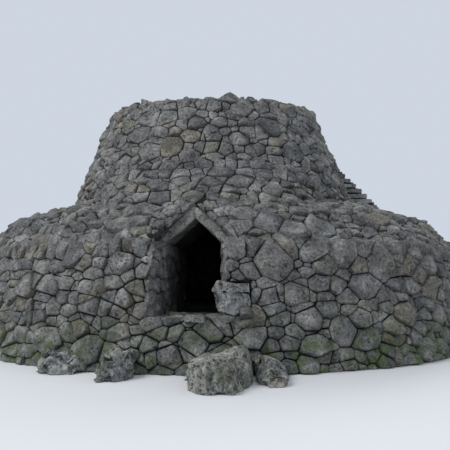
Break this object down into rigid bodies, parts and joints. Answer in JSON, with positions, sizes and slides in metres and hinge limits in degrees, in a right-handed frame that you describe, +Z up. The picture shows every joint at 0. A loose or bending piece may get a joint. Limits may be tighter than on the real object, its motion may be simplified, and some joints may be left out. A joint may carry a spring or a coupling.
{
  "type": "trullo house",
  "caption": "Dry-stone trullo house with a battered round upper tier on a wide lower tier, a gabled slab doorway, a corbelled chamber and a winding outer stair.",
  "frame": {"origin": "centre of the chamber on the ground, under the middle of the cap slab", "axes": "+Z up; the doorway faces -Y; +X to the right as one faces the doorway, where the stair starts"},
  "size_m": [12.4, 13.5883, 5.64],
  "materials": {
    "wall_stone": "rough",
    "slab_stone": "rough",
    "inner_stone": "rough",
    "boulder_stone": "rough",
    "earth": "rough"
  },
  "bodies": {
    "root": {"lower_wall_front_right": "wall_stone", "lower_wall_right": "wall_stone", "lower_wall_right_back": "wall_stone", "lower_wall_back_right": "wall_stone", "lower_wall_back_left": "wall_stone", "lower_wall_left_back": "wall_stone", "lower_wall_left": "wall_stone", "lower_wall_front_left": "wall_stone", "wall_over_door": "wall_stone", "wall_beside_door_left": "wall_stone", "wall_beside_door_right": "wall_stone", "upper_wall_front_right": "wall_stone", "upper_wall_right_back": "wall_stone", "upper_wall_back_right": "wall_stone", "upper_wall_back_left": "wall_stone", "upper_wall_left_back": "wall_stone", "upper_wall_front_left": "wall_stone", "shell_low_front_right": "inner_stone", "shell_low_back_right": "inner_stone", "shell_low_back_left": "inner_stone", "shell_low_front_left": "inner_stone", "shell_high_front_right": "inner_stone", "shell_high_back_right": "inner_stone", "shell_high_back_left": "inner_stone", "shell_high_front_left": "inner_stone", "cap_slab": "slab_stone", "roof_cover": "earth", "crown_right": "wall_stone", "crown_left": "wall_stone", "gable_slab_outer_left": "slab_stone", "gable_slab_outer_right": "slab_stone", "gable_slab_middle_left": "slab_stone", "gable_slab_middle_right": "slab_stone", "gable_slab_inner_left": "slab_stone", "gable_slab_inner_right": "slab_stone", "threshold_slab": "slab_stone", "right_jamb_block": "boulder_stone", "floor_fill": "wall_stone", "chamber_floor": "earth", "stair_core_low": "wall_stone", "stair_core_high": "wall_stone", "stair_treads_low": "slab_stone", "stair_treads_high": "slab_stone", "foot_rock_centre": "boulder_stone", "foot_rock_right": "boulder_stone", "foot_rock_left": "boulder_stone", "foot_rock_far_left": "boulder_stone"}
  },
  "joints": []
}
